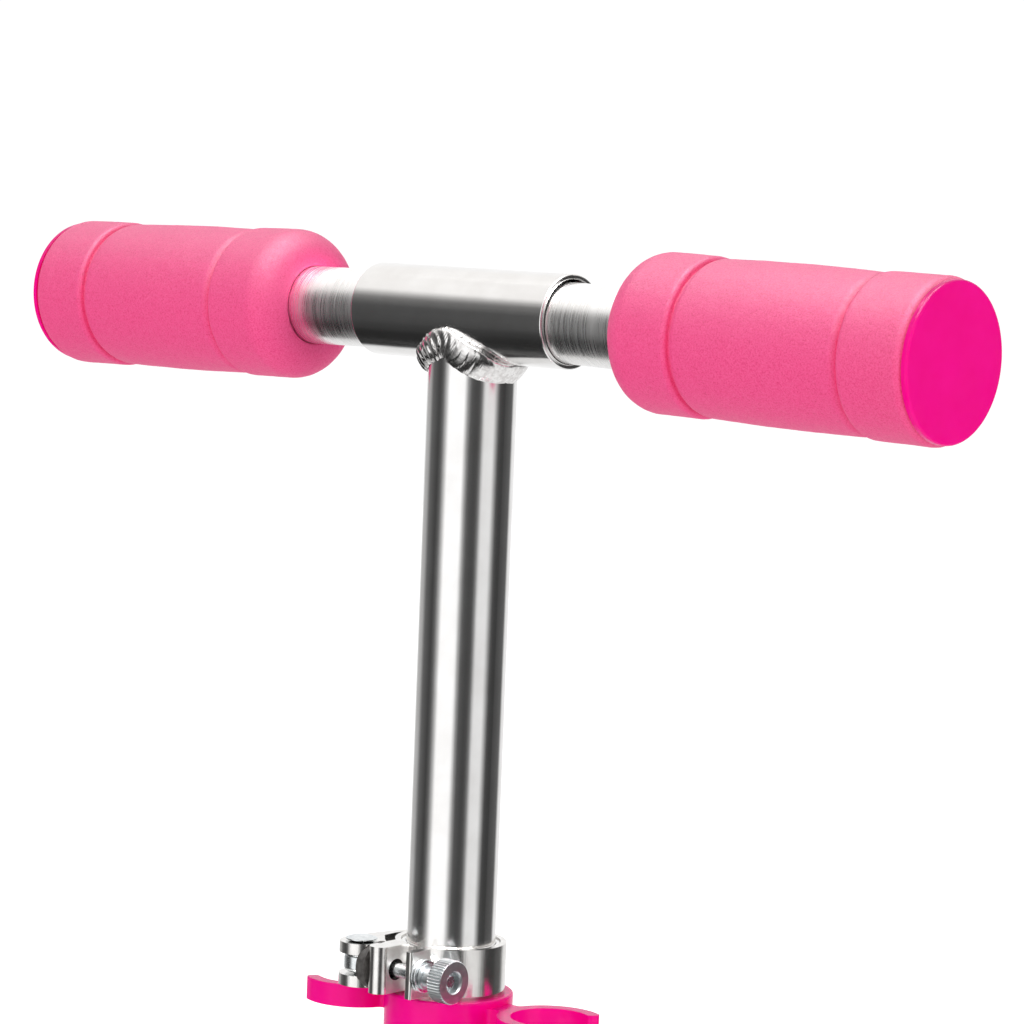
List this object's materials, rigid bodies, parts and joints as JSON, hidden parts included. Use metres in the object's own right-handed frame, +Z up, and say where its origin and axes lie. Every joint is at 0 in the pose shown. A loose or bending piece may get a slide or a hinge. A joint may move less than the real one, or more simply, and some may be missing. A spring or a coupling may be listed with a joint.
{
  "type": "scooter steering column",
  "caption": "Telescoping kick scooter T-bar with pull-out foam handles, quick-release cam clamp and plastic handle clips.",
  "frame": {"origin": "on the stem's axis at the lower end of the outer column", "axes": "+Z up the stem, +X along the crossbar to the right handle, -Y to the front, where the clamp bolt is"},
  "size_m": [0.3226, 0.047, 0.6176],
  "materials": {
    "bright_tube": "polished",
    "clamp_aluminium": "polished extrusion",
    "weld": "rippled weld bead",
    "zinc": "bright zinc plate",
    "spring_steel": "tempered strip",
    "cup_washer": "moulded nylon",
    "pink_plastic": "glossy moulded",
    "plug_plastic": "moulded nylon",
    "cord": "braided elastic",
    "foam": "closed-cell foam, fine pores"
  },
  "bodies": {
    "column": {"column_tube": "bright_tube", "clamp_collar": "clamp_aluminium", "saddle_washer": "cup_washer", "grip_holder": "pink_plastic"},
    "tbar": {"crossbar_sleeve": "bright_tube", "upper_tube": "bright_tube", "tee_weld": "weld", "retaining_cord": "cord", "height_button_spring": "spring_steel"},
    "height_button": {"height_button": "zinc"},
    "left_handle": {"left_handle_tube": "bright_tube", "left_grip": "foam", "left_end_cap": "pink_plastic", "left_cord_plug": "plug_plastic", "left_button_spring": "spring_steel"},
    "left_button": {"left_button": "zinc"},
    "right_handle": {"right_handle_tube": "bright_tube", "right_grip": "foam", "right_end_cap": "pink_plastic", "right_cord_plug": "plug_plastic", "right_button_spring": "spring_steel"},
    "right_button": {"right_button": "zinc"},
    "skewer": {"skewer": "zinc"},
    "lever": {"cam_lever": "clamp_aluminium", "pivot_rivet": "zinc"},
    "washers": {"clamp_washers": "zinc"},
    "nut": {"thumb_nut": "zinc"}
  },
  "joints": [
    {"name": "tbar_height", "type": "slide", "parent": "column", "child": "tbar", "axis": [0, 0, 1], "range_m": [-0.12, 0.06], "deforming": ["height_button"]},
    {"name": "height_button_press", "type": "slide", "parent": "tbar", "child": "height_button", "axis": [0, -1, 0], "range_m": [0, 0.003], "stiffness_N_per_m": 1500, "springref_m": -0.002, "deforming": ["height_button_spring"]},
    {"name": "left_handle_pull", "type": "slide", "parent": "tbar", "child": "left_handle", "axis": [-0.9999, 0, -0.0105], "range_m": [0, 0.045], "deforming": ["left_button", "retaining_cord"]},
    {"name": "left_button_press", "type": "slide", "parent": "left_handle", "child": "left_button", "axis": [0, -1, 0], "range_m": [0, 0.003], "stiffness_N_per_m": 1500, "springref_m": -0.002, "deforming": ["left_button_spring"]},
    {"name": "right_handle_pull", "type": "slide", "parent": "tbar", "child": "right_handle", "axis": [0.9997, 0, -0.0227], "range_m": [0, 0.045], "deforming": ["right_button", "retaining_cord"]},
    {"name": "right_button_press", "type": "slide", "parent": "right_handle", "child": "right_button", "axis": [0, -1, 0], "range_m": [0, 0.003], "stiffness_N_per_m": 1500, "springref_m": -0.002, "deforming": ["right_button_spring"]},
    {"name": "skewer_shift", "type": "slide", "parent": "column", "child": "skewer", "axis": [1, 0, 0], "range_m": [0, 0.00066]},
    {"name": "lever_turn", "type": "hinge", "parent": "skewer", "child": "lever", "pos_m": [-0.017, -0.0185, 0.4143], "axis": [0, 0, 1], "range_deg": [0, 150]},
    {"name": "washers_shift", "type": "slide", "parent": "skewer", "child": "washers", "axis": [1, 0, 0], "range_m": [0, 0.0021]},
    {"name": "nut_turn", "type": "hinge", "parent": "washers", "child": "nut", "pos_m": [0.0136, -0.0185, 0.4143], "axis": [1, 0, 0], "range_deg": [0, 1080]}
  ],
  "couplings": [
    {"joint": "skewer_shift", "follows": "lever_turn", "m_per_rad": 0.00025},
    {"joint": "washers_shift", "follows": "nut_turn", "m_per_rad": 0.000111}
  ]
}
